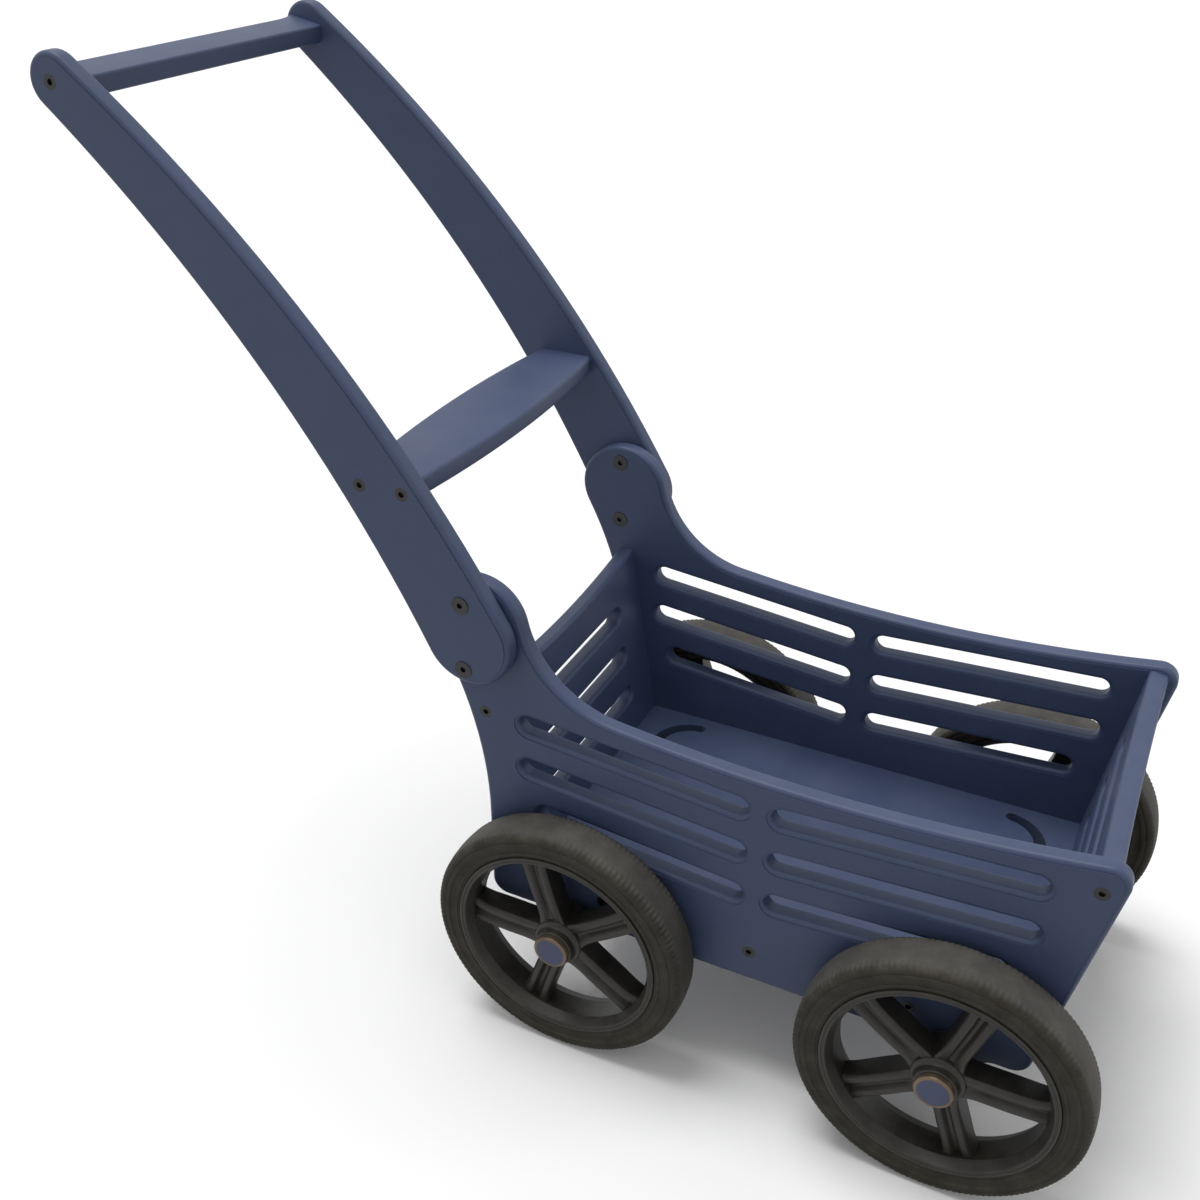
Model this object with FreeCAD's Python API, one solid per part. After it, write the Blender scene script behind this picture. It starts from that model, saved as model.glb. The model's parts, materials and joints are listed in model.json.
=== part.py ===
import FreeCAD, Part
import math
import os
from FreeCAD import Vector

# Child's push trolley: a slatted board tray on four spoked wheels, with two curved uprights.
# Millimetres. +X is forward, +Y is the trolley's left, +Z is up. Distances along X in the sizes
# below are measured from the rear axle, and heights from the axles, so larger wheels lift the tray.

# Overall sizes
wheelbase = 282.0
tread_radius = 100.0
tray_width = 226.0            # clear width between the two side panels
board = 14.0                  # thickness of every board
handle_back = 366.0           # handle bar's centre behind the rear axle
handle_height = 569.0

# Edge moulding: a quarter round with a small step up to the board's face
edge_round = 3.2
edge_step = 0.6
edge_flat = 0.5
corner_round = 13.0

# Side panels
side_bottom = -6.0
rear_edge = 74.0              # behind the rear axle
front_edge = 51.0             # ahead of the front axle, at the bottom
front_edge_lean = 10.8        # degrees
dip_forward = 175.0           # lowest point of the top edge, ahead of the rear axle
dip_height = 170.5
top_edge_radius = 1184.0
horn_back = 78.3
horn_height = 234.3           # centre of the rounded horn that carries the upright
horn_radius = 36.7
horn_front_sweep = 80.0       # concave radii that run into the horn
horn_rear_sweep = 300.0
axle_lobe_radius = 24.0

# Long slots in the side panels: two columns of three
slot_height = 15.0
slot_pitch = 37.5
slot_rear = 46.0              # rear end of the rear column, behind the rear axle
slot_split = 135.5            # middle of the bar between the columns, ahead of the rear axle
slot_bar = 17.0
slot_front = 40.0             # front end of the front column, ahead of the front axle
slot_rear_height = 162.0
slot_split_height = 145.5
slot_front_height = 155.0
low_slot_setback = 14.0       # the lowest slots stop short at their outer ends

# End panels and floor
floor_top = 28.0
rear_panel_foot = 43.5        # inner face at the floor, behind the rear axle
rear_panel_lean = 9.2
front_panel_foot = 42.0       # inner face at the floor, ahead of the front axle
front_panel_lean = 8.3
end_panel_top = 180.5
end_panel_sag = 7.0           # the top edge dips this much in the middle
end_slot_width = 152.0
end_slot_height = 13.0
end_slot_top = 139.0
floor_slot_radius = 31.0
floor_slot_width = 9.0
floor_slot_inset = 54.0       # arc centre to the tray's side and end faces

# Uprights, handle bar and cross plate
upright_bend = 1115.0
foot_back = 78.0
foot_height = 228.0
foot_radius = 33.8
upright_top_radius = 18.8
bar_width = 26.0
bar_forward = 2.0             # bar's middle from the uprights' top centres
bar_drop = 2.0
bar_edge_round = 1.8
bar_flare = 4.0
bar_flare_length = 24.0
bar_tilt = 12.0
cross_back = 138.0
cross_height = 331.2
cross_end_width = 46.0
cross_bulge = 8.0

# Fasteners
bolt_back = 80.7
bolt_height = 231.6
bolt_pitch = 51.5
bolt_radius = 3.0
bolt_head_radius = 6.5
bolt_head_height = 2.6
bolt_proud = 0.6
sleeve_radius = 4.4
screw_radius = 3.0
screw_head_radius = 4.9
screw_head_height = 3.0
screw_length = 50.0
screw_fit = 0.05
cross_screw_pitch = 33.0
panel_screw_top = 164.0
panel_screw_low = 50.0
floor_screw_middle = 136.0    # ahead of the rear axle
floor_screw_pitch = 115.0
socket_across = 4.0
socket_depth = 2.2

# Wheels and axles
tyre_width = 33.0
tyre_inner_radius = 80.0
tyre_shoulder = 2.2           # drop of the tread from its crown to its edge
tyre_fit = 0.15
wheel_gap = 6.5               # tyre to side panel
rim_lip = 5.0
rim_web_radius = 71.5
spoke_count = 5
spoke_width = 21.0
spoke_depth = 18.0
spoke_groove = 5.0
front_spoke_turn = 0.0        # degrees that the wheels are turned at rest
rear_spoke_turn = 36.0
hub_radius = 19.0
hub_nose_radius = 15.5
hub_nose_height = 8.5
axle_radius = 6.0
running_fit = 0.05
hub_bush_radius = 9.0
axle_bush_radius = 8.0
flange_radius = 12.0
flange_height = 2.0
washer_radius = 10.0
washer_height = 1.8
end_play = 0.2
cap_radius = 13.5
cap_wall = 1.2
cap_height = 4.2
cap_round = 1.4
cap_clearance = 0.3           # axle end to the cap
cap_disc_radius = 11.0
clip_height = 1.0
clip_radius = 11.5

# Places that follow from the sizes
half_tray = tray_width / 2
panel_face = half_tray + board                # outer face of a side panel
upright_face = panel_face + board
wheel_middle = panel_face + wheel_gap + tyre_width / 2
hub_inner = panel_face + flange_height + washer_height + 2 * end_play
hub_outer = wheel_middle + tyre_width / 2 + 1.3
axle_half = hub_outer + end_play + clip_height + 0.6
front_reach = wheelbase + tread_radius
back_reach = handle_back + upright_top_radius
to_ground = Vector((back_reach - front_reach) / 2, 0, tread_radius)   # origin at mid length, on the ground


def flat_point(x, z, along=0.0):
    return Vector(x, z, along)


def stand_up(shape, outer_y):
    """Turns a board drawn flat in XY upright into XZ, with its last face at outer_y."""
    shape.rotate(Vector(0, 0, 0), Vector(1, 0, 0), 90)
    shape.translate(Vector(0, outer_y, 0))
    return shape


def mirrored(shape):
    return shape.mirror(Vector(0, 0, 0), Vector(0, 1, 0))


def slot_wire(start, end, height):
    """Round-ended slot whose tips are start and end."""
    along = (end - start).normalize()
    across = Vector(-along.y, along.x, 0) * (height / 2)
    a = start + along * (height / 2)
    b = end - along * (height / 2)
    edges = [Part.LineSegment(a - across, b - across).toShape(),
             Part.Arc(b - across, end, b + across).toShape(),
             Part.LineSegment(b + across, a + across).toShape(),
             Part.Arc(a + across, start, a - across).toShape()]
    return Part.Wire(edges)


def sharp_corners(solid):
    """Edges across the thickness of a flat solid where two side faces meet at an angle."""
    found = []
    for edge in solid.Edges:
        ends = [v.Point for v in edge.Vertexes]
        if len(ends) != 2 or math.hypot(ends[0].x - ends[1].x, ends[0].y - ends[1].y) > 1e-6:
            continue
        middle = (ends[0] + ends[1]) / 2
        normals = []
        for face in solid.ancestorsOfType(edge, Part.Face):
            u, v = face.Surface.parameter(middle)
            normals.append(face.normalAt(u, v))
        if len(normals) == 2 and normals[0].getAngle(normals[1]) > math.radians(15):
            found.append(edge)
    return found


def face_edges(solid, height):
    return [e for e in solid.Edges
            if all(abs(v.Z - height) < 1e-6 for v in e.Vertexes)]


def moulded(outline, holes=(), thickness=board):
    """Board with the stepped quarter round on every edge of both faces."""
    core_height = thickness - 2 * edge_step
    core = Part.Face([outline] + list(holes)).extrude(Vector(0, 0, core_height))
    core = core.makeFillet(edge_round, face_edges(core, 0.0) + face_edges(core, core_height))
    core.translate(Vector(0, 0, edge_step))
    inset = edge_round + edge_flat
    rings = [outline.makeOffset2D(-inset)] + [hole.makeOffset2D(inset) for hole in holes]
    plate = Part.Face(rings).extrude(Vector(0, 0, thickness))
    return core.fuse(plate).removeSplitter()


def pin(radius, length, start, direction):
    return Part.makeCylinder(radius, length, start, direction)


def hex_socket(start, direction):
    """Hexagonal recess, its mouth at start and its depth against direction."""
    radius = socket_across / 2 / math.cos(math.pi / 6)
    angles = [math.radians(60 * i) for i in range(7)]
    corners = [Vector(math.cos(a), math.sin(a), 0) * radius for a in angles]
    cut = Part.Face(Part.makePolygon(corners)).extrude(Vector(0, 0, socket_depth))
    cut.Placement = FreeCAD.Placement(start, FreeCAD.Rotation(Vector(0, 0, 1), direction * -1))
    return cut


# --- side panels -------------------------------------------------------------------------------

def circle_between(first, first_reach, second, second_reach, left):
    """Centre at first_reach from first and second_reach from second, on the chosen side."""
    gap = second - first
    distance = gap.Length
    along = (first_reach ** 2 - second_reach ** 2 + distance ** 2) / (2 * distance)
    away = math.sqrt(max(first_reach ** 2 - along ** 2, 0.0))
    unit = gap / distance
    side = Vector(-unit.y, unit.x, 0) * (away if left else -away)
    return first + unit * along + side


def arc_about(centre, start, end, clockwise):
    """Arc from start to end about centre."""
    a = math.atan2(start.y - centre.y, start.x - centre.x)
    b = math.atan2(end.y - centre.y, end.x - centre.x)
    if clockwise and b > a:
        b -= 2 * math.pi
    if not clockwise and b < a:
        b += 2 * math.pi
    radius = (start - centre).Length
    middle = centre + Vector(math.cos((a + b) / 2), math.sin((a + b) / 2), 0) * radius
    return Part.Arc(start, middle, end).toShape()


def front_edge_at(z):
    return wheelbase + front_edge + (z - side_bottom) * math.tan(math.radians(front_edge_lean))


def side_outline():
    horn = flat_point(-horn_back, horn_height)
    dip = flat_point(dip_forward, dip_height + top_edge_radius)
    sweep = circle_between(horn, horn_radius + horn_front_sweep,
                           dip, top_edge_radius - horn_front_sweep, left=False)
    top_tangent = dip + (sweep - dip).normalize() * top_edge_radius
    horn_tangent = horn + (sweep - horn).normalize() * horn_radius
    rear = flat_point(-rear_edge - horn_rear_sweep, 0)
    rear.y = horn_height - math.sqrt((horn_radius + horn_rear_sweep) ** 2 - (rear.x - horn.x) ** 2)
    rear_tangent = horn + (rear - horn).normalize() * horn_radius
    rear_low = flat_point(-rear_edge, rear.y)
    foot_rear = flat_point(-rear_edge, side_bottom)
    foot_front = flat_point(front_edge_at(side_bottom), side_bottom)
    front_z = dip_height
    for _ in range(6):                       # where the front edge meets the top edge's arc
        offset = front_edge_at(front_z) - dip_forward
        front_z = dip.y - math.sqrt(top_edge_radius ** 2 - offset ** 2)
    front_top = flat_point(front_edge_at(front_z), front_z)
    edges, start = [], foot_rear
    for x in (0.0, wheelbase):               # lobes round the axles
        reach = math.sqrt(axle_lobe_radius ** 2 - side_bottom ** 2)
        near, far = flat_point(x - reach, side_bottom), flat_point(x + reach, side_bottom)
        edges.append(Part.LineSegment(start, near).toShape())
        edges.append(Part.Arc(near, flat_point(x, -axle_lobe_radius), far).toShape())
        start = far
    edges += [Part.LineSegment(start, foot_front).toShape(),
             Part.LineSegment(foot_front, front_top).toShape(),
             arc_about(dip, front_top, top_tangent, clockwise=True),
             arc_about(sweep, top_tangent, horn_tangent, clockwise=True),
             arc_about(horn, horn_tangent, rear_tangent, clockwise=False),
             arc_about(rear, rear_tangent, rear_low, clockwise=True),
             Part.LineSegment(rear_low, foot_rear).toShape()]
    return Part.Wire(edges)


def side_blank():
    """Outline with its corners rounded."""
    solid = Part.Face(side_outline()).extrude(Vector(0, 0, board))
    solid = solid.makeFillet(corner_round, sharp_corners(solid))
    return Part.Wire(Part.__sortEdges__(face_edges(solid, 0.0)))


def side_slots():
    middle_rear = slot_split - slot_bar / 2
    middle_front = slot_split + slot_bar / 2
    slots = []
    for row in range(3):
        setback = low_slot_setback if row == 2 else 0.0
        drop = row * slot_pitch
        rear_slope = (slot_split_height - slot_rear_height) / (middle_rear + slot_rear)
        front_slope = (slot_front_height - slot_split_height) / (wheelbase + slot_front - middle_front)
        start = flat_point(-slot_rear + setback, slot_rear_height + rear_slope * setback - drop)
        slots.append(slot_wire(start, flat_point(middle_rear, slot_split_height - drop), slot_height))
        end = flat_point(wheelbase + slot_front - setback, slot_front_height - front_slope * setback - drop)
        slots.append(slot_wire(flat_point(middle_front, slot_split_height - drop), end, slot_height))
    return slots


# --- fastener places ---------------------------------------------------------------------------

def lean_x(foot_x, lean, z):
    """X of a leaning panel's inner face at height z; a positive lean goes forward."""
    return foot_x + (z - floor_top) * math.tan(math.radians(lean))


def rear_inner(z):
    return lean_x(-rear_panel_foot, -rear_panel_lean, z)


def front_inner(z):
    return lean_x(wheelbase + front_panel_foot, front_panel_lean, z)


def panel_core_x(inner, lean, outward, z):
    return inner(z) + outward * board / 2 / math.cos(math.radians(lean))


panel_screws = (panel_screw_top, panel_screw_low)
rear_screws = [(panel_core_x(rear_inner, rear_panel_lean, -1, z), z) for z in panel_screws]
front_screws = [(panel_core_x(front_inner, front_panel_lean, 1, z), z) for z in panel_screws]
floor_screws = [(floor_screw_middle + i * floor_screw_pitch, floor_top - board / 2) for i in (-1, 0, 1)]
cross_screws = [(-cross_back + i * cross_screw_pitch / 2, cross_height) for i in (-1, 1)]
handle_screws = [(-handle_back, handle_height)]
upright_bolts = [(-bolt_back, bolt_height + i * bolt_pitch / 2) for i in (1, -1)]


def screw(x, z, face_y):
    """Board screw driven in through a face at face_y, its head flush with the face."""
    inward = Vector(0, -1, 0)
    body = pin(screw_radius, screw_length, Vector(x, face_y, z), inward)
    head = pin(screw_head_radius, screw_head_height, Vector(x, face_y, z), inward)
    return body.fuse(head).removeSplitter().cut(hex_socket(Vector(x, face_y, z), Vector(0, 1, 0)))


def screw_hole(x, z, face_y):
    inward = Vector(0, -1, 0)
    body = pin(screw_radius + screw_fit, screw_length + screw_fit, Vector(x, face_y, z), inward)
    head_depth = screw_head_height + screw_fit
    head = pin(screw_head_radius + screw_fit, head_depth + 1, Vector(x, face_y + 1, z), inward)
    return body.fuse(head)


def both_sides(shapes):
    return Part.makeCompound(list(shapes) + [mirrored(s) for s in shapes])


def drilled(shape, places, face_y):
    """Cuts the screw holes of both sides out of a shape."""
    for x, z in places:
        hole = screw_hole(x, z, face_y)
        shape = shape.cut(hole).cut(mirrored(hole))
    return shape


def upright_bolt(x, z):
    """Flat-headed bolt through the upright and the horn, from outside."""
    top = upright_face + bolt_proud
    inward = Vector(0, -1, 0)
    head = pin(bolt_head_radius, bolt_head_height, Vector(x, top, z), inward)
    shank = pin(bolt_radius, 2 * board - 4, Vector(x, top, z), inward)
    return head.fuse(shank).cut(hex_socket(Vector(x, top, z), Vector(0, 1, 0)))


def bolt_sleeve(x, z):
    """Sleeve nut that takes the bolt from the tray side."""
    low = half_tray - bolt_proud
    outward = Vector(0, 1, 0)
    head = pin(bolt_head_radius, bolt_head_height, Vector(x, low, z), outward)
    sleeve = pin(sleeve_radius, 2 * board - 6, Vector(x, low, z), outward)
    bore_start = Vector(x, low + bolt_head_height + 0.6, z)
    bore = pin(bolt_radius + screw_fit, 2 * board, bore_start, outward)
    return head.fuse(sleeve).cut(bore).cut(hex_socket(Vector(x, low, z), Vector(0, -1, 0)))


def bolt_hole(x, z):
    through = pin(sleeve_radius + screw_fit, 4 * board, Vector(x, half_tray - board, z), Vector(0, 1, 0))
    seat_depth = bolt_head_height - bolt_proud + screw_fit
    radius = bolt_head_radius + screw_fit
    outer_seat = pin(radius, seat_depth + 1, Vector(x, upright_face + 1, z), Vector(0, -1, 0))
    inner_seat = pin(radius, seat_depth + 1, Vector(x, half_tray - 1, z), Vector(0, 1, 0))
    return through.fuse(outer_seat).fuse(inner_seat)


def side_panel():
    panel = stand_up(moulded(side_blank(), side_slots()), panel_face)
    for x, z in rear_screws + front_screws + floor_screws:
        panel = panel.cut(screw_hole(x, z, panel_face))
    for x, z in upright_bolts:
        panel = panel.cut(bolt_hole(x, z))
    for x in (0.0, wheelbase):
        panel = panel.cut(pin(axle_bush_radius + screw_fit, 2 * board, Vector(x, half_tray - 1, 0),
                              Vector(0, 1, 0)))
    return panel


# --- uprights, handle bar, cross plate ------------------------------------------------------------

def upright_outline():
    foot = flat_point(-foot_back, foot_height)
    top = flat_point(-handle_back, handle_height)
    bend = circle_between(foot, upright_bend, top, upright_bend, left=True)
    start = math.atan2(foot.y - bend.y, foot.x - bend.x)
    end = math.atan2(top.y - bend.y, top.x - bend.x)

    def station(share, radius, side):
        angle = start + (end - start) * share
        return bend + Vector(math.cos(angle), math.sin(angle), 0) * (upright_bend + side * radius)

    middle_radius = (foot_radius + upright_top_radius) / 2
    foot_tip = foot + Vector(math.sin(start), -math.cos(start), 0) * foot_radius
    top_tip = top + Vector(-math.sin(end), math.cos(end), 0) * upright_top_radius
    radii = ((0, foot_radius), (0.5, middle_radius), (1, upright_top_radius))
    outer = [station(share, radius, 1) for share, radius in radii]
    inner = [station(share, radius, -1) for share, radius in reversed(radii)]
    return Part.Wire([Part.Arc(*outer).toShape(), Part.Arc(outer[2], top_tip, inner[0]).toShape(),
                      Part.Arc(*inner).toShape(), Part.Arc(inner[2], foot_tip, outer[0]).toShape()])


def upright():
    blank = stand_up(moulded(upright_outline()), upright_face)
    for x, z in upright_bolts:
        blank = blank.cut(bolt_hole(x, z))
    for x, z in cross_screws + handle_screws:
        blank = blank.cut(screw_hole(x, z, upright_face))
    return blank


def rounded_plank(wire, kept_ends, radius):
    """Plank lying in XY whose long edges are rounded and whose ends at y = +-kept_ends are square."""
    plank = Part.Face(wire).extrude(Vector(0, 0, board))
    long_edges = [e for e in face_edges(plank, 0.0) + face_edges(plank, board)
                  if abs(abs(e.CenterOfMass.y) - kept_ends) > 1e-6]
    return plank.makeFillet(radius, long_edges)


def handle_bar():
    """Plank whose back edge flares out towards its ends."""
    half = bar_width / 2
    waist = panel_face - bar_flare_length
    back = -half - bar_flare
    flare_radius = (bar_flare_length ** 2 + bar_flare ** 2) / (2 * bar_flare)
    lift = flare_radius - math.sqrt(flare_radius ** 2 - bar_flare_length ** 2 / 4)
    flare = Part.Arc(flat_point(back, panel_face), flat_point(-half - lift, waist + bar_flare_length / 2),
                     flat_point(-half, waist)).toShape()
    edges = [Part.LineSegment(flat_point(half, -panel_face), flat_point(half, panel_face)).toShape(),
             Part.LineSegment(flat_point(half, panel_face), flat_point(back, panel_face)).toShape(),
             flare,
             Part.LineSegment(flat_point(-half, waist), flat_point(-half, -waist)).toShape(),
             mirrored(flare),
             Part.LineSegment(flat_point(back, -panel_face), flat_point(half, -panel_face)).toShape()]
    bar = rounded_plank(Part.Wire(Part.__sortEdges__(edges)), panel_face, bar_edge_round)
    bar.translate(Vector(0, 0, -board / 2))
    bar.rotate(Vector(0, 0, 0), Vector(0, 1, 0), bar_tilt)
    bar.translate(Vector(bar_forward - handle_back, 0, handle_height - bar_drop))
    return drilled(bar, handle_screws, upright_face)


def cross_plate():
    half, reach = cross_end_width / 2, panel_face
    right_front, left_front = flat_point(half, -reach), flat_point(half, reach)
    right_back, left_back = flat_point(-half, -reach), flat_point(-half, reach)
    front = Part.Arc(right_front, flat_point(half + cross_bulge, 0), left_front).toShape()
    back = Part.Arc(left_back, flat_point(-half - cross_bulge, 0), right_back).toShape()
    ends = [Part.LineSegment(left_front, left_back).toShape(),
            Part.LineSegment(right_back, right_front).toShape()]
    plate = rounded_plank(Part.Wire([front, ends[0], back, ends[1]]), reach, edge_round)
    plate.translate(Vector(-cross_back, 0, cross_height - board / 2))
    return drilled(plate, cross_screws, upright_face)


# --- end panels and floor -------------------------------------------------------------------------

def end_panel(foot_x, lean, forward):
    """Leaning board between the sides, drawn as height (x) by width (y), inner face at z = 0."""
    slope = 1 / math.cos(math.radians(lean))
    top = (end_panel_top - floor_top) * slope
    bottom = -board * slope
    corner = flat_point(top, half_tray)
    crest = Part.Arc(corner, flat_point(top - end_panel_sag, 0), flat_point(top, -half_tray)).toShape()
    edges = [crest, Part.LineSegment(flat_point(top, -half_tray), flat_point(bottom, -half_tray)).toShape(),
             Part.LineSegment(flat_point(bottom, -half_tray), flat_point(bottom, half_tray)).toShape(),
             Part.LineSegment(flat_point(bottom, half_tray), corner).toShape()]
    panel = Part.Face(Part.Wire(edges)).extrude(Vector(0, 0, board))
    rim = [e for e in face_edges(panel, 0.0) + face_edges(panel, board)
           if all(abs(v.X - top) < 1e-6 for v in e.Vertexes)]
    panel = panel.makeFillet(edge_round, rim)
    for row in range(3):
        middle = (end_slot_top - row * slot_pitch - floor_top) * slope
        wire = slot_wire(flat_point(middle, -end_slot_width / 2), flat_point(middle, end_slot_width / 2),
                         end_slot_height)
        slot = Part.Face(wire).extrude(Vector(0, 0, board))
        panel = panel.cut(slot)
    slot_rims = [e for e in face_edges(panel, 0.0) + face_edges(panel, board)
                 if all(abs(v.Y) < half_tray - 1 for v in e.Vertexes)]
    panel = panel.makeFillet(edge_round, slot_rims)
    panel.rotate(Vector(0, 0, 0), Vector(0, 1, 0), -90)       # height up, thickness towards -X
    if forward:
        panel.rotate(Vector(0, 0, 0), Vector(0, 0, 1), 180)
    panel.rotate(Vector(0, 0, 0), Vector(0, 1, 0), lean if forward else -lean)
    panel.translate(Vector(foot_x, 0, floor_top))
    return panel


def rear_panel():
    panel = end_panel(-rear_panel_foot, rear_panel_lean, forward=False)
    return drilled(panel, rear_screws, panel_face)


def front_panel():
    panel = end_panel(wheelbase + front_panel_foot, front_panel_lean, forward=True)
    return drilled(panel, front_screws, panel_face)


def floor_slot(corner_x, towards):
    """Quarter-circle slot near a corner of the floor, bulging to the corner."""
    centre = Vector(corner_x + towards * floor_slot_inset, half_tray - floor_slot_inset + 8, 0)
    middle = 90 + 45 * towards
    inner, outer = floor_slot_radius - floor_slot_width / 2, floor_slot_radius + floor_slot_width / 2

    def at(radius, degrees):
        a = math.radians(degrees)
        return centre + Vector(math.cos(a), math.sin(a), 0) * radius

    a, b = middle - 38, middle + 38
    tip = math.degrees(floor_slot_width / 2 / floor_slot_radius)
    return Part.Wire([Part.Arc(at(outer, a), at(outer, middle), at(outer, b)).toShape(),
                      Part.Arc(at(outer, b), at(floor_slot_radius, b + tip), at(inner, b)).toShape(),
                      Part.Arc(at(inner, b), at(inner, middle), at(inner, a)).toShape(),
                      Part.Arc(at(inner, a), at(floor_slot_radius, a - tip), at(outer, a)).toShape()])


def floor_panel():
    low = floor_top - board
    corners = [(rear_inner(floor_top), floor_top), (front_inner(floor_top), floor_top),
               (front_inner(low), low), (rear_inner(low), low)]
    points = [Vector(x, -half_tray, z) for x, z in corners]
    panel = Part.Face(Part.makePolygon(points + [points[0]])).extrude(Vector(0, tray_width, 0))
    for corner_x, towards in ((rear_inner(floor_top), 1), (front_inner(floor_top), -1)):
        slot = Part.Face(floor_slot(corner_x, towards)).extrude(Vector(0, 0, board))
        slot.translate(Vector(0, 0, low))
        panel = panel.cut(slot).cut(mirrored(slot))
    return drilled(panel, floor_screws, panel_face)


# --- wheels: drawn with the axle along Z and the outer side towards +Z ------------------------------

def revolved(points):
    corners = [Vector(r, 0, w) for r, w in points]
    face = Part.Face(Part.makePolygon(corners + [corners[0]]))
    return face.revolve(Vector(0, 0, 0), Vector(0, 0, 1), 360)


def tyre():
    half = tyre_width / 2
    edge = tread_radius - tyre_shoulder
    inner = tyre_inner_radius + tyre_fit
    wall = (tread_radius + tyre_inner_radius) / 2
    tread = half - 2.5
    crown = Part.Arc(Vector(edge, 0, -tread), Vector(tread_radius, 0, 0), Vector(edge, 0, tread)).toShape()

    def side(sign):
        points = [(edge, tread), (edge - 2, half), (wall + 2, half - 0.4),
                  (wall + 1, half + 0.5), (wall - 1, half + 0.5), (wall - 2, half - 0.4),
                  (inner + 2, half - 1), (inner, half - 1.5)]
        corners = [Vector(r, 0, sign * w) for r, w in points]
        return [Part.LineSegment(a, b).toShape() for a, b in zip(corners, corners[1:])]

    bore = Part.LineSegment(Vector(inner, 0, half - 1.5), Vector(inner, 0, -half + 1.5)).toShape()
    wire = Part.Wire(Part.__sortEdges__([crown] + side(1) + [bore] + side(-1)))
    return Part.Face(wire).revolve(Vector(0, 0, 0), Vector(0, 0, 1), 360)


def rim():
    half = tyre_width / 2
    lip = tyre_inner_radius - rim_lip
    section = [(tyre_inner_radius, half - 1), (tyre_inner_radius - 1, half),
               (lip + 1, half), (lip, half - 1), (rim_web_radius, spoke_depth / 2 - 3)]
    section += [(r, -w) for r, w in reversed(section)]
    barrel = revolved(section)
    inner_face, outer_face = hub_inner - wheel_middle, hub_outer - wheel_middle
    nose_start = outer_face - hub_nose_height
    outward = Vector(0, 0, 1)
    hub = pin(hub_radius, nose_start - inner_face, Vector(0, 0, inner_face), outward)
    nose = pin(hub_nose_radius, hub_nose_height, Vector(0, 0, nose_start), outward)
    nose = nose.makeFillet(1.2, [nose.Edges[0]])
    wheel = barrel.fuse([hub, nose] + [spoke(i) for i in range(spoke_count)])
    bore = pin(hub_bush_radius + tyre_fit, 4 * tyre_width, Vector(0, 0, -2 * tyre_width), Vector(0, 0, 1))
    return wheel.cut(bore).removeSplitter()


def spoke(index):
    """Spoke with a vee groove along its outer face, between two ridges."""
    reach = rim_web_radius + 1
    half = spoke_depth / 2
    root = Vector(hub_radius / 2, -spoke_width / 2, -half)
    block = Part.makeBox(reach - hub_radius / 2, spoke_width, spoke_depth, root)
    vee = [Vector(hub_radius, -spoke_width / 2 + 3, half), Vector(hub_radius, spoke_width / 2 - 3, half),
           Vector(hub_radius, 0, half - spoke_groove)]
    groove = Part.Face(Part.makePolygon(vee + [vee[0]])).extrude(Vector(reach, 0, 0))
    block = block.cut(groove)
    block.rotate(Vector(0, 0, 0), Vector(0, 0, 1), 360 / spoke_count * index)
    return block


def hub_bush():
    inner_face, outer_face = hub_inner - wheel_middle, hub_outer - wheel_middle
    sleeve = pin(hub_bush_radius, outer_face - inner_face, Vector(0, 0, inner_face), Vector(0, 0, 1))
    bore = pin(axle_radius + running_fit, 4 * tyre_width, Vector(0, 0, -2 * tyre_width), Vector(0, 0, 1))
    return sleeve.cut(bore)


def on_wheel(shape, x, turn, side):
    """Places a turned wheel piece on an axle at x, on the left (side 1) or right (side -1)."""
    placed = shape.copy()
    placed.rotate(Vector(0, 0, 0), Vector(0, 0, 1), turn)
    placed.rotate(Vector(0, 0, 0), Vector(1, 0, 0), -90 * side)
    placed.translate(Vector(x, side * wheel_middle, 0))
    return placed


# --- axles and what sits on them --------------------------------------------------------------------

def axle(x):
    return pin(axle_radius, 2 * axle_half, Vector(x, -axle_half, 0), Vector(0, 1, 0))


def ring(outer, inner, height, y, x):
    start = Vector(x, y, 0)
    outward = Vector(0, 1, 0)
    return pin(outer, height, start, outward).cut(pin(inner, height, start, outward))


def axle_bush(x):
    bore = axle_radius + running_fit
    sleeve = ring(axle_bush_radius, bore, board, half_tray, x)
    return sleeve.fuse(ring(flange_radius, bore, flange_height, panel_face, x)).removeSplitter()


def washer(x):
    start = panel_face + flange_height + end_play
    return ring(washer_radius, axle_radius + running_fit, washer_height, start, x)


def clip(x):
    return ring(clip_radius, axle_radius + running_fit, clip_height, hub_outer + end_play, x)


def axle_cap(x):
    """Domed cap over the axle's end, with a shallow seat for the disc."""
    outward = Vector(0, 1, 0)
    base = hub_outer + end_play
    shell = pin(cap_radius, cap_height, Vector(x, base, 0), outward)
    rim_edges = [e for e in shell.Edges if all(abs(v.Y - base - cap_height) < 1e-6 for v in e.Vertexes)]
    shell = shell.makeFillet(cap_round, rim_edges)
    hollow = pin(cap_radius - cap_wall, axle_half - base + cap_clearance, Vector(x, base, 0), outward)
    seat_start = Vector(x, base + cap_height - cap_wall / 2, 0)
    seat = pin(cap_disc_radius + screw_fit, cap_wall, seat_start, outward)
    return shell.cut(hollow).cut(seat)


def cap_disc(x):
    start = Vector(x, hub_outer + end_play + cap_height - cap_wall / 2, 0)
    return pin(cap_disc_radius, cap_wall / 2, start, Vector(0, 1, 0))


def on_axles(piece):
    return both_sides([piece(0.0), piece(wheelbase)])


# --- export -----------------------------------------------------------------------------------------

def save(name, shape):
    moved = shape.copy()
    moved.translate(to_ground)
    moved.exportStep(os.path.join("parts", name + ".step"))


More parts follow.
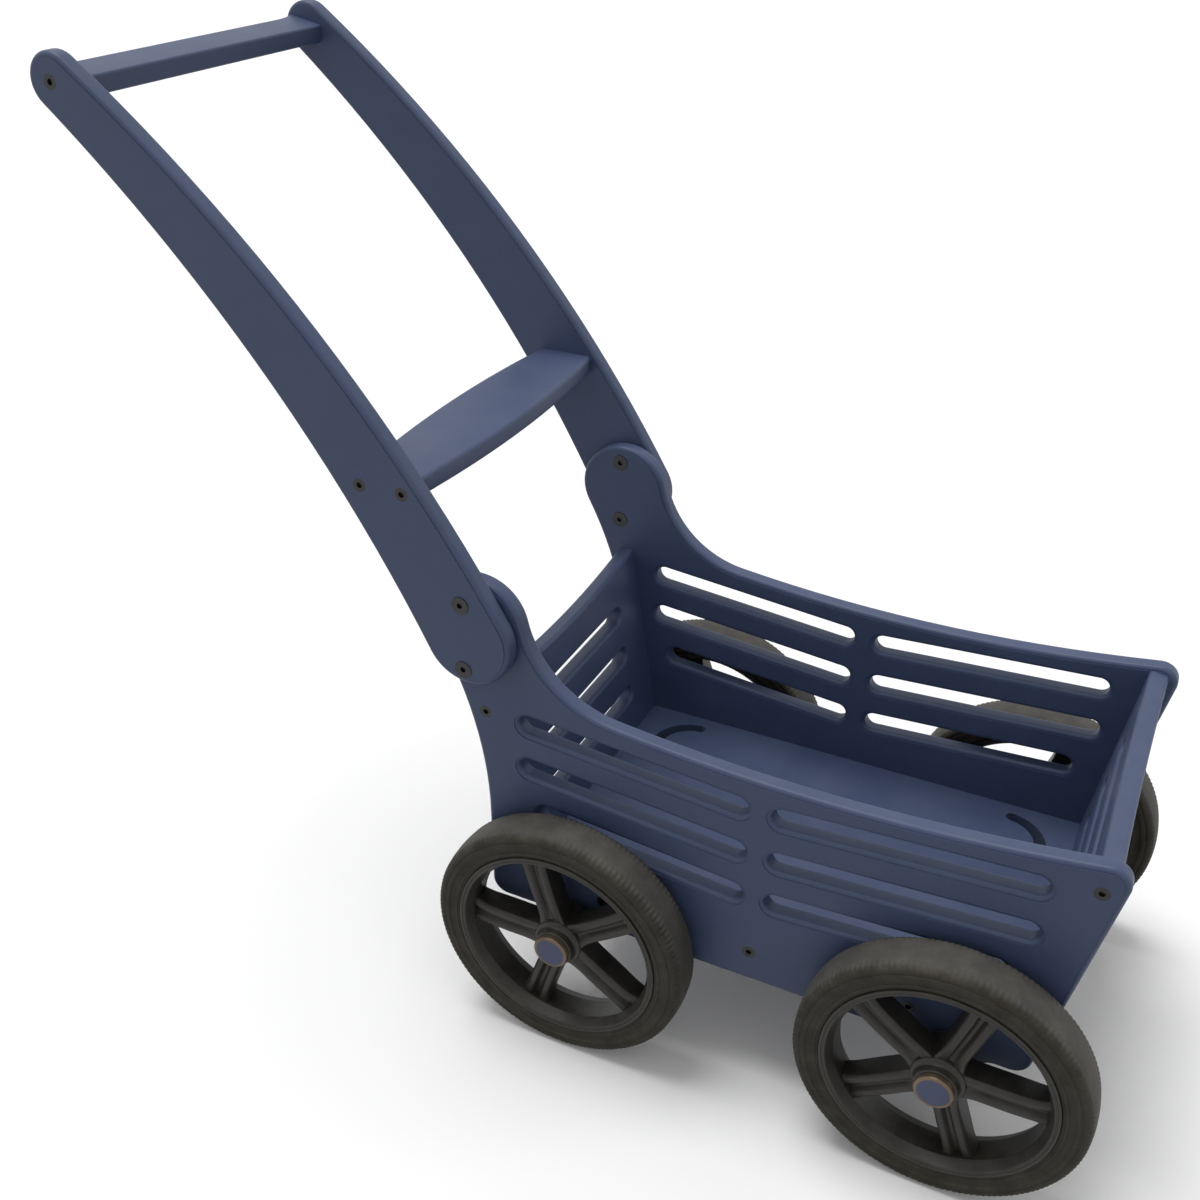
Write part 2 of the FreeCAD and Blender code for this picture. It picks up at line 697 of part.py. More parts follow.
def main():
    os.makedirs("parts", exist_ok=True)
    left_side, left_upright = side_panel(), upright()
    save("side_panel_left", left_side)
    save("side_panel_right", mirrored(left_side))
    save("upright_left", left_upright)
    save("upright_right", mirrored(left_upright))
    save("handle_bar", handle_bar())
    save("cross_plate", cross_plate())
    save("rear_panel", rear_panel())
    save("front_panel", front_panel())
    save("floor_panel", floor_panel())
    save("axle_rear", axle(0.0))
    save("axle_front", axle(wheelbase))
    for name, piece in (("axle_bushes", axle_bush), ("hub_washers", washer), ("axle_clips", clip),
                        ("axle_caps", axle_cap), ("cap_discs", cap_disc)):
        save(name, on_axles(piece))
    for name, places, face_y in (("rear_panel_screws", rear_screws, panel_face),
                                 ("front_panel_screws", front_screws, panel_face),
                                 ("floor_screws", floor_screws, panel_face),
                                 ("cross_plate_screws", cross_screws, upright_face),
                                 ("handle_bar_screws", handle_screws, upright_face)):
        save(name, both_sides([screw(x, z, face_y) for x, z in places]))
    save("upright_bolts", both_sides([upright_bolt(x, z) for x, z in upright_bolts]))
    save("upright_bolt_sleeves", both_sides([bolt_sleeve(x, z) for x, z in upright_bolts]))
    wheel_pieces = {"tyre": tyre(), "rim": rim(), "hub_bush": hub_bush()}
    for end, x, turn in (("front", wheelbase, front_spoke_turn), ("rear", 0.0, rear_spoke_turn)):
        for hand, side in (("left", 1), ("right", -1)):
            for name, shape in wheel_pieces.items():
                save(f"{name}_{end}_{hand}", on_wheel(shape, x, turn, side))


main()
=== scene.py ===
import bpy
import json
import math
import numpy as np
from mathutils import Matrix, Vector


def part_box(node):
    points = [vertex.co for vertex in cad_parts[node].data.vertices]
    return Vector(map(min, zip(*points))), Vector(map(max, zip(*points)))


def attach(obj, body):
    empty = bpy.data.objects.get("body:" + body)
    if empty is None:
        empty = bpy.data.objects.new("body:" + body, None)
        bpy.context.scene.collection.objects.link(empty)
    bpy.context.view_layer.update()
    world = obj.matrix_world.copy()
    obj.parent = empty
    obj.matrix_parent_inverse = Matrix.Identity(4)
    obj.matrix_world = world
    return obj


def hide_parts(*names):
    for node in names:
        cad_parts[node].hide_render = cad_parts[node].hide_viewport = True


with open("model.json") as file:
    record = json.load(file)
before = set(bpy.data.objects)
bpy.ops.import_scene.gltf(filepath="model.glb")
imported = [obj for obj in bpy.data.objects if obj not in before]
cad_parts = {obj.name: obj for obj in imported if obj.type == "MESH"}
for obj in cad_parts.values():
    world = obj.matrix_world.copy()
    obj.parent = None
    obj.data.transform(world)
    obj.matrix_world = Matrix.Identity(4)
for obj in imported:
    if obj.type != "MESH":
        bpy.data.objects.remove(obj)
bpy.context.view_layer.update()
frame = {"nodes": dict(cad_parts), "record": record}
nodes = frame["nodes"]
print("frame loaded:", len(nodes), "nodes")


def linear(r, g, b):  # 0-255 screen colour to the linear colour that sockets take
    shares = (r / 255, g / 255, b / 255)
    return tuple(c / 12.92 if c <= 0.04045 else ((c + 0.055) / 1.055) ** 2.4 for c in shares) + (1.0,)


def newGroup(name, inputs, outputs):
    group = bpy.data.node_groups.new(name, "ShaderNodeTree")
    for label, kind, value in inputs:
        socket = group.interface.new_socket(name=label, in_out="INPUT", socket_type=kind)
        socket.default_value = value
    for label, kind in outputs:
        group.interface.new_socket(name=label, in_out="OUTPUT", socket_type=kind)
    return group, group.nodes.new("NodeGroupInput"), group.nodes.new("NodeGroupOutput")


def addNode(tree, kind, inputs=None, **settings):
    node = tree.nodes.new(kind)
    for key, value in settings.items():
        setattr(node, key, value)
    for key, value in (inputs or {}).items():
        if isinstance(value, bpy.types.NodeSocket):
            tree.links.new(value, node.inputs[key])
        else:
            node.inputs[key].default_value = value
    return node


def mixColour(tree, factor, a, b):
    node = addNode(tree, "ShaderNodeMix", data_type="RGBA")
    for index, value in ((0, factor), (6, a), (7, b)):
        if isinstance(value, bpy.types.NodeSocket):
            tree.links.new(value, node.inputs[index])
        else:
            node.inputs[index].default_value = value
    return node.outputs[2]


def rangeMap(tree, value, low, high, newLow=0.0, newHigh=1.0):
    return addNode(tree, "ShaderNodeMapRange", {"Value": value, "From Min": low, "From Max": high,
                                                "To Min": newLow, "To Max": newHigh}).outputs["Result"]


def math2(tree, operation, a, b=0.0, clamp=False):
    node = addNode(tree, "ShaderNodeMath", operation=operation, use_clamp=clamp)
    for index, value in enumerate((a, b)):
        if isinstance(value, bpy.types.NodeSocket):
            tree.links.new(value, node.inputs[index])
        else:
            node.inputs[index].default_value = value
    return node.outputs[0]


def makeCloudGroup():
    # soft patches of light and dark with finer speckle over them, 0 to 1 round 0.5
    tree, start, end = newGroup("paintClouds", [("Vector", "NodeSocketVector", (0, 0, 0)),
                                                ("Patch size", "NodeSocketFloat", 12.0),
                                                ("Speckle size", "NodeSocketFloat", 400.0),
                                                ("Speckle share", "NodeSocketFloat", 0.3)],
                                [("Clouds", "NodeSocketFloat"), ("Speckle", "NodeSocketFloat")])
    patches = addNode(tree, "ShaderNodeTexNoise", {"Vector": start.outputs["Vector"],
                                                   "Scale": start.outputs["Patch size"], "Detail": 5.0,
                                                   "Roughness": 0.6})
    speckle = addNode(tree, "ShaderNodeTexNoise", {"Vector": start.outputs["Vector"],
                                                   "Scale": start.outputs["Speckle size"], "Detail": 2.0})
    mixed = addNode(tree, "ShaderNodeMix", {"Factor": start.outputs["Speckle share"]})
    tree.links.new(patches.outputs["Fac"], mixed.inputs[2])
    tree.links.new(speckle.outputs["Fac"], mixed.inputs[3])
    tree.links.new(mixed.outputs[0], end.inputs["Clouds"])
    tree.links.new(speckle.outputs["Fac"], end.inputs["Speckle"])
    return tree


def makeDustGroup():
    # dust lies thickest on what faces up, broken up by noise
    tree, start, end = newGroup("settledDust", [("Vector", "NodeSocketVector", (0, 0, 0)),
                                                ("Amount", "NodeSocketFloat", 0.5),
                                                ("Grain", "NodeSocketFloat", 60.0)],
                                [("Dust", "NodeSocketFloat")])
    surface = addNode(tree, "ShaderNodeNewGeometry")
    facing = addNode(tree, "ShaderNodeSeparateXYZ", {"Vector": surface.outputs["Normal"]})
    upward = rangeMap(tree, facing.outputs["Z"], -0.3, 1.0, 0.35, 1.0)
    grain = addNode(tree, "ShaderNodeTexNoise", {"Vector": start.outputs["Vector"],
                                                 "Scale": start.outputs["Grain"], "Detail": 6.0,
                                                 "Roughness": 0.65})
    broken = rangeMap(tree, grain.outputs["Fac"], 0.38, 0.68)
    lying = math2(tree, "MULTIPLY", broken, upward)
    share = math2(tree, "MULTIPLY", lying, start.outputs["Amount"], clamp=True)
    tree.links.new(share, end.inputs["Dust"])
    return tree


def makeScuffGroup():
    # fine short scratches in two directions, mostly clear
    tree, start, end = newGroup("fineScuffs", [("Vector", "NodeSocketVector", (0, 0, 0)),
                                               ("Density", "NodeSocketFloat", 40.0)],
                                [("Scuffs", "NodeSocketFloat")])
    lines = []
    for turn, stretch in (((0.3, 0.2, 0.9), (1.0, 14.0, 9.0)), ((0.1, 1.1, 0.4), (12.0, 1.0, 7.0))):
        turned = addNode(tree, "ShaderNodeMapping", {"Vector": start.outputs["Vector"], "Rotation": turn,
                                                     "Scale": stretch})
        streak = addNode(tree, "ShaderNodeTexNoise", {"Vector": turned.outputs["Vector"],
                                                      "Scale": start.outputs["Density"], "Detail": 3.0})
        lines.append(rangeMap(tree, streak.outputs["Fac"], 0.66, 0.72))
    where = addNode(tree, "ShaderNodeTexNoise", {"Vector": start.outputs["Vector"], "Scale": 9.0})
    patchy = rangeMap(tree, where.outputs["Fac"], 0.5, 0.7)
    both = math2(tree, "MAXIMUM", lines[0], lines[1])
    tree.links.new(math2(tree, "MULTIPLY", both, patchy), end.inputs["Scuffs"])
    return tree


cloudGroup, dustGroup, scuffGroup = makeCloudGroup(), makeDustGroup(), makeScuffGroup()


def useGroup(tree, group, **values):
    node = addNode(tree, "ShaderNodeGroup", node_tree=group)
    for key, value in values.items():
        label = key.replace("_", " ")
        if isinstance(value, bpy.types.NodeSocket):
            tree.links.new(value, node.inputs[label])
        else:
            node.inputs[label].default_value = value
    return node


def newMaterial(name, shown):
    material = bpy.data.materials.new(name)
    material.use_nodes = True
    material.diffuse_color = shown
    tree = material.node_tree
    place = addNode(tree, "ShaderNodeTexCoord").outputs["Object"]
    return material, tree, tree.nodes["Principled BSDF"], place


def bumpInto(tree, shader, height, strength, distance):
    bump = addNode(tree, "ShaderNodeBump", {"Height": height, "Strength": strength, "Distance": distance})
    tree.links.new(bump.outputs["Normal"], shader.inputs["Normal"])


def makeCoat(name, values, addWear):
    # what the painted, rubber and plastic surfaces share: a cloudy tone between a dark and a pale
    # colour, wear and dust of their own over it, and the speckle as a fine bump
    material, tree, shader, place = newMaterial(name, values["shown"])
    clouds = useGroup(tree, cloudGroup, Vector=place, Patch_size=values["patch"],
                      Speckle_size=values["speckle"], Speckle_share=values["speckleShare"])
    tone = rangeMap(tree, clouds.outputs["Clouds"], *values["toneRange"])
    colour = mixColour(tree, tone, values["dark"], values["colour"])
    colour = addWear(tree, place, colour)
    tree.links.new(colour, shader.inputs["Base Color"])
    roughness = rangeMap(tree, clouds.outputs["Clouds"], 0.3, 0.7, *values["roughness"])
    tree.links.new(roughness, shader.inputs["Roughness"])
    shader.inputs["Specular IOR Level"].default_value = values["shine"]
    bumpInto(tree, shader, clouds.outputs["Speckle"], *values["bump"])
    return material


def addDust(tree, place, colour, values):
    dust = useGroup(tree, dustGroup, Vector=place, Amount=values["dustAmount"], Grain=values["dustGrain"])
    return mixColour(tree, dust.outputs["Dust"], colour, values["dust"])


def addScuffs(tree, place, colour, values):
    scuffs = useGroup(tree, scuffGroup, Vector=place, Density=values["scuffDensity"])
    worn = math2(tree, "MULTIPLY", scuffs.outputs["Scuffs"], values["scuffShare"])
    return mixColour(tree, worn, colour, values["scuff"])


boardPaint = {
    "shown": linear(66, 79, 110), "colour": linear(66, 79, 110), "dark": linear(60, 72, 102),
    "toneRange": (0.35, 0.65), "patch": 14.0, "speckle": 900.0, "speckleShare": 0.35,
    "scuff": linear(88, 100, 130), "scuffDensity": 34.0, "scuffShare": 0.22,
    "dust": linear(150, 152, 156), "dustAmount": 0.05, "dustGrain": 26.0,
    "roughness": (0.43, 0.56), "shine": 0.38, "bump": (0.10, 0.0004),
}


def wearPaint(tree, place, colour):
    # satin paint: the speckle is a roller's stipple, and a few scuffs show pale
    colour = addScuffs(tree, place, colour, boardPaint)
    return addDust(tree, place, colour, boardPaint)


tyreRubber = {
    "shown": linear(48, 45, 40), "colour": linear(50, 46, 38), "dark": linear(30, 27, 21),
    "toneRange": (0.33, 0.67), "patch": 22.0, "speckle": 700.0, "speckleShare": 0.35,
    "rolled": linear(76, 75, 73), "rolledShare": 0.7,
    "dust": linear(98, 95, 87), "dustAmount": 0.5, "dustGrain": 55.0,
    "roughness": (0.62, 0.82), "shine": 0.3, "bump": (0.3, 0.0006),
}


def wearRubber(tree, place, colour):
    # solid tyre, paler where it rolls, dusty all over
    tread = addNode(tree, "ShaderNodeAttribute", attribute_name="tread")
    rolled = math2(tree, "MULTIPLY", tread.outputs["Fac"], tyreRubber["rolledShare"])
    colour = mixColour(tree, rolled, colour, tyreRubber["rolled"])
    return addDust(tree, place, colour, tyreRubber)


wheelPlastic = {
    "shown": linear(48, 45, 40), "colour": linear(36, 33, 28), "dark": linear(22, 20, 16),
    "toneRange": (0.33, 0.67), "patch": 30.0, "speckle": 1300.0, "speckleShare": 0.4,
    "scuff": linear(92, 88, 80), "scuffDensity": 60.0, "scuffShare": 0.3,
    "dust": linear(84, 81, 75), "dustAmount": 0.30, "dustGrain": 50.0,
    "roughness": (0.36, 0.52), "shine": 0.4, "bump": (0.18, 0.0004),
}


def wearPlastic(tree, place, colour):
    # moulded plastic: scuffs cut through the dust
    colour = addDust(tree, place, colour, wheelPlastic)
    return addScuffs(tree, place, colour, wheelPlastic)


metalTarnish = {"patch": 60.0, "speckle": 1500.0, "speckleShare": 0.3, "range": (0.3, 0.7),
                "rougher": 0.12, "bump": (0.1, 0.0002)}


def makeMetal(name, colour, dark, roughness, metallic):
    # metal, or a hard smooth coat, with cloudy tarnish that is rougher where it is dark
    material, tree, shader, place = newMaterial(name, colour)
    clouds = useGroup(tree, cloudGroup, Vector=place, Patch_size=metalTarnish["patch"],
                      Speckle_size=metalTarnish["speckle"], Speckle_share=metalTarnish["speckleShare"])
    tone = rangeMap(tree, clouds.outputs["Clouds"], *metalTarnish["range"])
    tree.links.new(mixColour(tree, tone, dark, colour), shader.inputs["Base Color"])
    polish = rangeMap(tree, clouds.outputs["Clouds"], *metalTarnish["range"],
                      roughness + metalTarnish["rougher"], roughness)
    tree.links.new(polish, shader.inputs["Roughness"])
    shader.inputs["Metallic"].default_value = metallic
    bumpInto(tree, shader, clouds.outputs["Speckle"], *metalTarnish["bump"])
    return material


paint = makeCoat("boardPaint", boardPaint, wearPaint)
rubber = makeCoat("tyreRubber", tyreRubber, wearRubber)
plastic = makeCoat("wheelPlastic", wheelPlastic, wearPlastic)
zinc = makeMetal("zincSteel", linear(168, 168, 166), linear(120, 120, 118), 0.32, 1.0)
blackSteel = makeMetal("blackSteel", linear(11, 11, 11), linear(6, 6, 6), 0.4, 0.0)
capRing = makeMetal("capRing", linear(128, 112, 92), linear(84, 72, 58), 0.35, 0.7)
capBlue = makeMetal("capBlue", linear(54, 67, 108), linear(40, 49, 82), 0.3, 0.0)
bushBlack = makeMetal("bushBlack", linear(30, 29, 27), linear(20, 19, 18), 0.5, 0.0)
print("materials made")

finishes = {"painted_board": paint, "steel": zinc, "dark_fasteners": blackSteel, "cap_metal": capRing,
            "cap_disc": capBlue, "bush_plastic": bushBlack, "wheel_plastic": plastic, "tyre": rubber}
smoothing = {"mergeWithin": 0.000002, "cornerDegrees": 27}


def smoothShading():
    # merges a CAD mesh's loose triangles, then shades it smooth except at real corners
    tree = bpy.data.node_groups.new("smoothBoards", "GeometryNodeTree")
    tree.interface.new_socket(name="Geometry", in_out="INPUT", socket_type="NodeSocketGeometry")
    tree.interface.new_socket(name="Geometry", in_out="OUTPUT", socket_type="NodeSocketGeometry")
    start, end = tree.nodes.new("NodeGroupInput"), tree.nodes.new("NodeGroupOutput")
    plain = addNode(tree, "GeometryNodeRemoveAttribute", {"Geometry": start.outputs[0],
                                                          "Name": "custom_normal"})
    merged = addNode(tree, "GeometryNodeMergeByDistance", {"Geometry": plain.outputs[0],
                                                           "Distance": smoothing["mergeWithin"]})
    smooth = addNode(tree, "GeometryNodeSetShadeSmooth", {"Geometry": merged.outputs[0],
                                                          "Shade Smooth": True}, domain="FACE")
    angle = addNode(tree, "GeometryNodeInputMeshEdgeAngle")
    sharp = addNode(tree, "FunctionNodeCompare", data_type="FLOAT", operation="GREATER_THAN")
    tree.links.new(angle.outputs["Unsigned Angle"], sharp.inputs[0])
    sharp.inputs[1].default_value = math.radians(smoothing["cornerDegrees"])
    cut = addNode(tree, "GeometryNodeSetShadeSmooth", {"Geometry": smooth.outputs[0],
                                                       "Selection": sharp.outputs[0],
                                                       "Shade Smooth": False}, domain="EDGE")
    tree.links.new(cut.outputs[0], end.inputs[0])
    return tree


smoothBoards = smoothShading()
slotOf = {part["node"]: part["material_slot"] for part in frame["record"]["subparts"]}
for name, node in nodes.items():
    node.data.materials.clear()
    node.data.materials.append(finishes[slotOf[name]])
    node.modifiers.new("smooth", "NODES").node_group = smoothBoards
print("CAD nodes painted")


def readPoints(mesh):
    points = np.zeros(len(mesh.vertices) * 3)
    mesh.vertices.foreach_get("co", points)
    return points.reshape(-1, 3)


def meshFromGrid(name, points, capped=False):
    # points is an array (ring, place in ring, 3). Neighbours become quads, and each ring closes on
    # itself. The last ring meets the first, unless the ends are capped, each by one flat face.
    rows, columns = points.shape[:2]
    index = np.arange(rows * columns).reshape(rows, columns)
    u = np.arange(rows - 1 if capped else rows)
    v = np.arange(columns)
    a = index[np.ix_(u, v)]
    b = index[np.ix_((u + 1) % rows, v)]
    c = index[np.ix_((u + 1) % rows, (v + 1) % columns)]
    d = index[np.ix_(u, (v + 1) % columns)]
    quads = np.stack([a, b, c, d], -1).reshape(-1, 4)
    faces = quads.tolist()
    if capped:
        faces.append(index[0].tolist())
        faces.append(index[-1][::-1].tolist())
    mesh = bpy.data.meshes.new(name)
    mesh.from_pydata(points.reshape(-1, 3).tolist(), [], faces)
    mesh.validate()
    return mesh


def outward(mesh):
    # turns a closed mesh's faces outwards by the sign of its volume
    mesh.calc_loop_triangles()
    tri = np.zeros(len(mesh.loop_triangles) * 3, dtype=np.int64)
    mesh.loop_triangles.foreach_get("vertices", tri)
    a, b, c = readPoints(mesh)[tri.reshape(-1, 3)].transpose(1, 0, 2)
    if np.einsum("ij,ij->i", a, np.cross(b, c)).sum() < 0:
        mesh.flip_normals()
    return mesh


def revolve(name, profile, steps, ripple=None):
    # A closed profile of (radius, along) in mm is carried round the axle in equal steps: a point is
    # (radius cos angle, radius sin angle, along), its radius less the ripple there, if any.
    angle = np.linspace(0, 2 * np.pi, steps, endpoint=False)[:, None]
    radius, along = profile[:, 0][None, :], profile[:, 1][None, :]
    if ripple is not None:
        radius = radius - ripple(angle, radius, along)
    points = np.stack([radius * np.cos(angle), radius * np.sin(angle), along + 0 * angle], -1) / 1000
    return outward(meshFromGrid(name, points))


def roundedProfile(corners, radius, steps=5):
    # Closed polygon with each corner P replaced by the quadratic curve from start S to end E:
    # (1-t)^2 S + 2t(1-t) P + t^2 E, where S and E lie this radius from P along its two sides.
    corners = np.array(corners, float)
    before, after = np.roll(corners, 1, 0), np.roll(corners, -1, 0)
    toBefore, toAfter = before - corners, after - corners
    lengthBefore = np.linalg.norm(toBefore, axis=1, keepdims=True)
    lengthAfter = np.linalg.norm(toAfter, axis=1, keepdims=True)
    reach = np.minimum(radius, 0.45 * np.minimum(lengthBefore, lengthAfter))
    start = corners + toBefore / lengthBefore * reach
    end = corners + toAfter / lengthAfter * reach
    t = np.linspace(0, 1, steps)[None, :, None]
    curve = (1 - t) ** 2 * start[:, None] + 2 * t * (1 - t) * corners[:, None] + t ** 2 * end[:, None]
    return curve.reshape(-1, 2)


def joinMeshes(name, meshes):
    # copies several meshes into one, each keeping its own shell
    points, faces, offset = [], [], 0
    for mesh in meshes:
        points.append(readPoints(mesh))
        faces += [[v + offset for v in polygon.vertices] for polygon in mesh.polygons]
        offset += len(mesh.vertices)
    joined = bpy.data.meshes.new(name)
    joined.from_pydata(np.concatenate(points).tolist(), [], faces)
    joined.validate()
    return joined


wheel = {  # mm, from the wheel's middle: radii, and widths along the axle to one side
    "halfWidth": 16.5, "spokeHalf": 9.5, "spokes": 5, "hub": 19.0,
}


def hubSpace(name):
    # which way is out, and the ends of the hub along the axle in mm, from the CAD rim
    low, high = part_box(name)
    side = 1 if low.y > 0 else -1
    inner = min(abs(low.y), abs(high.y)) * 1000
    outer = max(abs(low.y), abs(high.y)) * 1000
    return side, inner, outer


tyreShape = {
    "crown": 100.0, "shoulder": 98.9, "seat": 80.15, "treadHalf": 13.0, "treadSteps": 21,
    "ribs": 150, "stepsPerRib": 6, "ribDepth": 0.45, "ribStart": 8.5, "ribBottom": 95.5, "ribFade": 1.5,
    "ringsOnSidewall": ((93.6, 16.4), (93.2, 16.1), (92.4, 16.1), (92.0, 16.6), (90.6, 16.8), (89.2, 16.6),
                        (88.8, 16.0), (87.6, 15.6), (84.6, 15.5), (84.2, 16.0), (82.4, 16.1), (82.0, 15.6),
                        (81.0, 15.3)),
    "seatHalf": 15.0, "rollsAbove": 97.5, "rollsWithin": 15.0, "rollFade": (1.5, 3.0), "sharpAbove": 30,
}


def tyreMesh():
    # Closed profile: a tread crowned as a parabola, rounded shoulders, two raised rings on each sidewall.
    crown, edge, reach = tyreShape["crown"], tyreShape["shoulder"], tyreShape["treadHalf"]
    widths = np.linspace(-reach, reach, tyreShape["treadSteps"])
    tread = [(crown - (crown - edge) * (w / reach) ** 2, w) for w in widths]
    shoulder = [(edge - 0.25, 13.5), (edge - 0.9, 14.6), (edge - 1.9, 15.6), (edge - 3.2, 16.2),
                (edge - 4.6, 16.4)]
    side = shoulder + list(tyreShape["ringsOnSidewall"]) + [(tyreShape["seat"], tyreShape["seatHalf"])]
    profile = tread + side + [(r, -w) for r, w in reversed(side)]

    def ribs(angle, radius, along):
        # Short cross ribs in both shoulders: a sine of the angle, squared off by a hyperbolic tangent,
        # within a band that starts some way out along the axle and near the top of the tyre.
        wave = 0.5 + 0.5 * np.tanh(3 * np.sin(angle * tyreShape["ribs"]))
        fade = tyreShape["ribFade"]
        outside = np.clip((np.abs(along) - tyreShape["ribStart"]) / fade, 0, 1)
        high = np.clip((radius - tyreShape["ribBottom"]) / fade, 0, 1)
        return tyreShape["ribDepth"] * wave * (outside * high)

    return revolve("tyre", np.array(profile), tyreShape["ribs"] * tyreShape["stepsPerRib"], ribs)


def markTread(mesh):
    # how far a point faces the road: 1 on the tread, 0 on the sidewalls
    points = readPoints(mesh) * 1000
    radius = np.hypot(points[:, 0], points[:, 1])
    upFade, sideFade = tyreShape["rollFade"]
    high = np.clip((radius - tyreShape["rollsAbove"]) / upFade, 0, 1)
    inside = np.clip((tyreShape["rollsWithin"] - np.abs(points[:, 2])) / sideFade, 0, 1)
    tread = mesh.attributes.new("tread", "FLOAT", "POINT")
    tread.data.foreach_set("value", (high * inside).astype(np.float32))


rimShape = {
    "lip": 75.5, "web": 71.5, "nose": 15.2, "bore": 9.15, "barrelSteps": 192, "bossSteps": 96,
    "barrelEdge": 0.35, "bossEdge": 0.9, "sharpAbove": 32,
}


def rimMesh(hubInner, hubOuter):
    # barrel, grooved spokes, and the boss with its nose; the outer side is +Z here
    half, spokeHalf, hub = wheel["halfWidth"], wheel["spokeHalf"], wheel["hub"]
    lip, web, nose, bore = rimShape["lip"], rimShape["web"], rimShape["nose"], rimShape["bore"]
    outerSide = [(79.9, half - 1.6), (79.6, half - 0.2), (78.2, half + 0.1), (77.6, half - 0.7),
                 (76.9, half - 0.6), (76.4, half), (lip, half - 0.1), (lip - 0.6, half - 1.0),
                 (web, spokeHalf - 1.0)]
    bothSides = outerSide + [(r, -w) for r, w in reversed(outerSide)]
    barrel = roundedProfile(bothSides, rimShape["barrelEdge"], 4)
    parts = [revolve("barrel", barrel, rimShape["barrelSteps"])]
    boss = roundedProfile([(bore, hubInner), (hub - 3, hubInner), (hub - 1, hubInner + 4),
                           (hub, spokeHalf - 1), (hub - 0.6, spokeHalf + 1.2),
                           (nose + 1.2, spokeHalf + 1.6), (nose, spokeHalf + 3.2),
                           (nose - 0.4, hubOuter - 0.6), (nose - 1.4, hubOuter), (bore, hubOuter)],
                          rimShape["bossEdge"], 5)
    parts.append(revolve("boss", boss, rimShape["bossSteps"]))
    for i in range(wheel["spokes"]):
        parts.append(spokeMesh(2 * np.pi * i / wheel["spokes"]))
    return joinMeshes("rim", parts)


spokeShape = {
    "width": 19.0, "flareAtBarrel": 4.0, "flareAtHub": 3.0, "groove": 4.2, "edge": 0.9,
    "rings": (13.0, 17.0, 19.0, 21.0, 24.0, 28.0, 34.0, 42.0, 50.0, 57.0, 62.0, 66.0, 69.0, 71.0, 72.5),
    "dropAtBarrel": 2.2, "reach": 72.0,
}


def spokeSection():
    # spoke section for a width of 1: flat back, sloped flanks, two ridges with a groove between
    h, floor = wheel["spokeHalf"], wheel["spokeHalf"] - spokeShape["groove"]
    shoulder = h - 2.4
    corners = [(-0.5, -h), (0.5, -h), (0.5, shoulder), (0.40, h), (0.20, h), (0.07, floor),
               (-0.07, floor), (-0.20, h), (-0.40, h), (-0.5, shoulder)]
    scale = [spokeShape["width"], 1.0]
    return roundedProfile(np.array(corners) * scale, spokeShape["edge"], 4) / scale


def spokeMesh(turn):
    # The section is carried outwards from the hub. Its width grows a little with the radius, and by
    # squares of the share of the way into each end; its top sinks by such a square towards the barrel,
    # and its groove fades out at the hub.
    h, reach = wheel["spokeHalf"], spokeShape["reach"]
    section = spokeSection()
    radius = np.array(spokeShape["rings"])
    out = np.clip((radius - 60.0) / 12.0, 0, 1) ** 2
    root = np.clip((30.0 - radius) / 14.0, 0, 1) ** 2
    width = spokeShape["width"] * (0.92 + 0.10 * (radius / reach))
    width = width + spokeShape["flareAtBarrel"] * out + spokeShape["flareAtHub"] * root
    drop = spokeShape["dropAtBarrel"] * np.clip((radius - 40.0) / 32.0, 0, 1) ** 2
    across = section[None, :, 0] * width[:, None]
    fade = 1.0 - 0.75 * root
    top = section[None, :, 1]
    front = h - (h - top) * fade[:, None] - drop[:, None]
    level = np.where(top > 0, front, top + drop[:, None] * 0.5)
    along = radius[:, None] + 0 * across
    x = along * np.cos(turn) - across * np.sin(turn)
    y = along * np.sin(turn) + across * np.cos(turn)
    return outward(meshFromGrid("spoke", np.stack([x, y, level], -1) / 1000, capped=True))


def placeOnAxle(mesh, middle, side, turn):
    # spins by turn, lays the axle along Y with the outer side away from the tray, then moves to the wheel
    swing = Matrix.Rotation(-side * math.pi / 2, 4, "X") @ Matrix.Rotation(turn, 4, "Z")
    mesh.transform(Matrix.Translation(middle) @ swing)


def addPiece(name, mesh, body, slotName, replaced, sharpAbove):
    piece = bpy.data.objects.new(name, mesh)
    bpy.context.scene.collection.objects.link(piece)
    mesh.materials.append(finishes[slotName])
    mesh.polygons.foreach_set("use_smooth", np.ones(len(mesh.polygons), dtype=bool))
    mesh.set_sharp_from_angle(angle=math.radians(sharpAbove))
    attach(piece, body)
    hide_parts(replaced)


for end, turn in (("front", 0.0), ("rear", math.pi)):
    for hand in ("left", "right"):
        side, hubInner, hubOuter = hubSpace(f"rim_{end}_{hand}")
        tyreLow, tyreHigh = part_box(f"tyre_{end}_{hand}")
        centre = (tyreLow + tyreHigh) / 2
        axleLow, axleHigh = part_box(f"hub_bush_{end}_{hand}")
        centre.x, centre.z = (axleLow.x + axleHigh.x) / 2, (axleLow.z + axleHigh.z) / 2
        away = abs(centre.y) * 1000
        tyre = tyreMesh()
        markTread(tyre)
        placeOnAxle(tyre, centre, side, turn)
        addPiece(f"solidTyre_{end}_{hand}", tyre, f"wheel_{end}_{hand}", "tyre", f"tyre_{end}_{hand}",
                 tyreShape["sharpAbove"])
        rim = rimMesh(hubInner - away, hubOuter - away)
        placeOnAxle(rim, centre, side, turn)
        addPiece(f"spokedRim_{end}_{hand}", rim, f"wheel_{end}_{hand}", "wheel_plastic",
                 f"rim_{end}_{hand}", rimShape["sharpAbove"])
print("wheels made")


